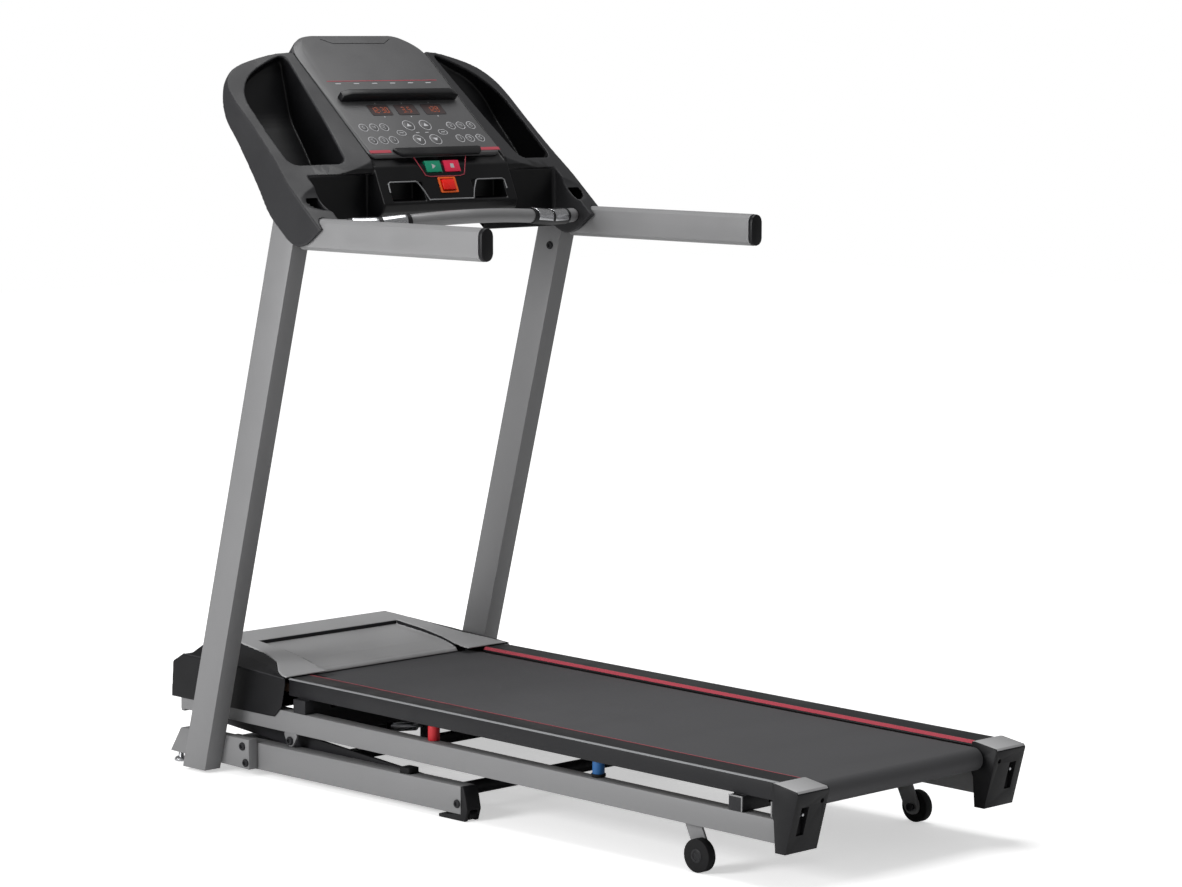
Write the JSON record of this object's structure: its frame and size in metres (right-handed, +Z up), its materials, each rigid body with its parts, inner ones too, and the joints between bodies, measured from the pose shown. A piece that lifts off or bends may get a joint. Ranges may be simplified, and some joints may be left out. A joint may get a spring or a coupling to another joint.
{
  "type": "folding treadmill",
  "caption": "Folding treadmill with powered incline: running deck between side rails, leaning uprights, long side handles, grip bar and winged console.",
  "frame": {"origin": "bottom centre of the bounding box, on the floor", "axes": "+Z up, +Y the running direction (towards the console), +X the runner's right"},
  "size_m": [0.86, 1.9363, 1.6442],
  "materials": {
    "aluminium_grey": "cast and machined",
    "arm_grey": "satin light grey paint",
    "belt_rubber": "fine diamond texture",
    "black_plastic": "fine texture",
    "black_rubber": "smooth",
    "black_steel": "satin black powder coat",
    "blue_rubber": "soft",
    "board_wood": "coated board",
    "charcoal_plastic": "fine texture",
    "circuit_green": "solder mask",
    "frame_grey": "satin grey powder coat",
    "green_key": "gloss",
    "hood_grey": "satin paint",
    "orange_red": "gloss",
    "panel_grey": "satin",
    "red_key": "gloss",
    "red_rubber": "soft",
    "steel_bright": "zinc plated"
  },
  "bodies": {
    "base": {"base_cross_tube": "frame_grey", "grip_bar": "arm_grey", "console_housing": "charcoal_plastic", "console_back_cover": "black_plastic", "circuit_board": "circuit_green", "console_panel": "panel_grey", "media_ledge": "black_plastic", "base_tube_left": "frame_grey", "upright_left": "frame_grey", "foot_bracket_left": "frame_grey", "levelling_foot_left": "steel_bright", "base_end_foot_left": "black_plastic", "arm_left": "arm_grey", "arm_cap_left": "black_plastic", "grip_sleeve_left": "black_plastic", "base_tube_right": "frame_grey", "upright_right": "frame_grey", "foot_bracket_right": "frame_grey", "levelling_foot_right": "steel_bright", "base_end_foot_right": "black_plastic", "arm_right": "arm_grey", "arm_cap_right": "black_plastic", "grip_sleeve_right": "black_plastic"},
    "lift_frame": {"lift_frame": "black_steel"},
    "hinge_shaft": {"hinge_shaft": "black_steel"},
    "deck": {"deck_cross_bar_front": "black_steel", "deck_cross_bar_rear": "black_steel", "deck_front_frame": "frame_grey", "deck_board": "board_wood", "running_belt": "belt_rubber", "motor_tray": "steel_bright", "motor_controller": "aluminium_grey", "drive_motor": "black_steel", "drive_belt": "black_rubber", "motor_cover_body": "black_plastic", "motor_hood": "hood_grey", "deck_tube_left": "frame_grey", "side_rail_left": "black_plastic", "rear_cap_left": "black_plastic", "cushion_red_left": "red_rubber", "cushion_blue_left": "blue_rubber", "deck_tube_right": "frame_grey", "side_rail_right": "black_plastic", "rear_cap_right": "black_plastic", "cushion_red_right": "red_rubber", "cushion_blue_right": "blue_rubber"},
    "front_roller": {"front_roller": "steel_bright"},
    "rear_roller": {"rear_roller": "steel_bright"},
    "motor_pulley": {"motor_pulley": "aluminium_grey"},
    "rear_wheel_left": {"rear_wheel_left": "black_rubber"},
    "rear_wheel_right": {"rear_wheel_right": "black_rubber"},
    "transport_wheel_left": {"transport_wheel_left": "black_rubber"},
    "transport_wheel_right": {"transport_wheel_right": "black_rubber"},
    "lift_motor": {"lift_motor": "black_steel"},
    "lift_screw": {"lift_screw": "steel_bright"},
    "strut_barrel": {"strut_barrel": "black_steel"},
    "strut_rod": {"strut_rod": "steel_bright"},
    "start_button": {"start_button": "green_key"},
    "stop_button": {"stop_button": "red_key"},
    "safety_key": {"safety_key": "orange_red"}
  },
  "joints": [
    {"name": "incline", "type": "hinge", "parent": "base", "child": "lift_frame", "pos_m": [0, 0.06622, 0.044], "axis": [1, 0, 0], "range_deg": [0, 11.5]},
    {"name": "deck_level", "type": "hinge", "parent": "lift_frame", "child": "hinge_shaft", "pos_m": [0, 0.85122, 0.136], "axis": [1, 0, 0], "range_deg": [-6, 0]},
    {"name": "deck_fold", "type": "hinge", "parent": "hinge_shaft", "child": "deck", "pos_m": [0, 0.85122, 0.136], "axis": [-1, 0, 0], "range_deg": [0, 55]},
    {"name": "strut_swing", "type": "hinge", "parent": "hinge_shaft", "child": "strut_barrel", "pos_m": [0.232, 0.79622, 0.078], "axis": [-1, 0, 0], "range_deg": [0, 60]},
    {"name": "strut_stroke", "type": "slide", "parent": "strut_barrel", "child": "strut_rod", "axis": [0, -0.9991, 0.0435], "range_m": [0, 0.08]},
    {"name": "lift_motor_swing", "type": "hinge", "parent": "base", "child": "lift_motor", "pos_m": [0, 0.74022, 0.044], "axis": [1, 0, 0], "range_deg": [-16, 0]},
    {"name": "lift_screw_slide", "type": "slide", "parent": "lift_motor", "child": "lift_screw", "axis": [0, -0.9853, 0.1707], "range_m": [0, 0.045]},
    {"name": "front_roller_spin", "type": "hinge", "parent": "deck", "child": "front_roller", "pos_m": [0, 0.67907, 0.1948], "axis": [1, 0, 0], "continuous": true},
    {"name": "rear_roller_spin", "type": "hinge", "parent": "deck", "child": "rear_roller", "pos_m": [0, -0.90982, 0.17653], "axis": [1, 0, 0], "continuous": true},
    {"name": "motor_pulley_spin", "type": "hinge", "parent": "deck", "child": "motor_pulley", "pos_m": [-0.255, 0.79595, 0.20614], "axis": [1, 0, 0], "continuous": true},
    {"name": "rear_wheel_left_spin", "type": "hinge", "parent": "deck", "child": "rear_wheel_left", "pos_m": [-0.333, -0.69378, 0.034], "axis": [1, 0, 0], "continuous": true},
    {"name": "rear_wheel_right_spin", "type": "hinge", "parent": "deck", "child": "rear_wheel_right", "pos_m": [0.333, -0.69378, 0.034], "axis": [1, 0, 0], "continuous": true},
    {"name": "transport_wheel_left_spin", "type": "hinge", "parent": "base", "child": "transport_wheel_left", "pos_m": [-0.333, -0.02878, 0.012], "axis": [1, 0, 0], "continuous": true},
    {"name": "transport_wheel_right_spin", "type": "hinge", "parent": "base", "child": "transport_wheel_right", "pos_m": [0.333, -0.02878, 0.012], "axis": [1, 0, 0], "continuous": true},
    {"name": "start_press", "type": "slide", "parent": "base", "child": "start_button", "axis": [0, 0.9153, -0.4027], "range_m": [0, 0.0012], "stiffness_N_per_m": 1500, "springref_m": -0.0006},
    {"name": "stop_press", "type": "slide", "parent": "base", "child": "stop_button", "axis": [0, 0.9153, -0.4027], "range_m": [0, 0.0012], "stiffness_N_per_m": 1500, "springref_m": -0.0006},
    {"name": "safety_key_pull", "type": "slide", "parent": "base", "child": "safety_key", "axis": [0, -0.9153, 0.4027], "range_m": [0, 0.03]}
  ],
  "couplings": [
    {"joint": "deck_level", "follows": "incline", "ratio": -0.4986},
    {"joint": "lift_motor_swing", "follows": "incline", "ratio": -1.3252},
    {"joint": "lift_screw_slide", "follows": "incline", "m_per_rad": 0.2074},
    {"joint": "strut_swing", "follows": "deck_fold", "ratio": 1.0311},
    {"joint": "strut_stroke", "follows": "deck_fold", "m_per_rad": 0.075},
    {"joint": "rear_roller_spin", "follows": "front_roller_spin", "ratio": 1},
    {"joint": "motor_pulley_spin", "follows": "front_roller_spin", "ratio": 1.5}
  ]
}
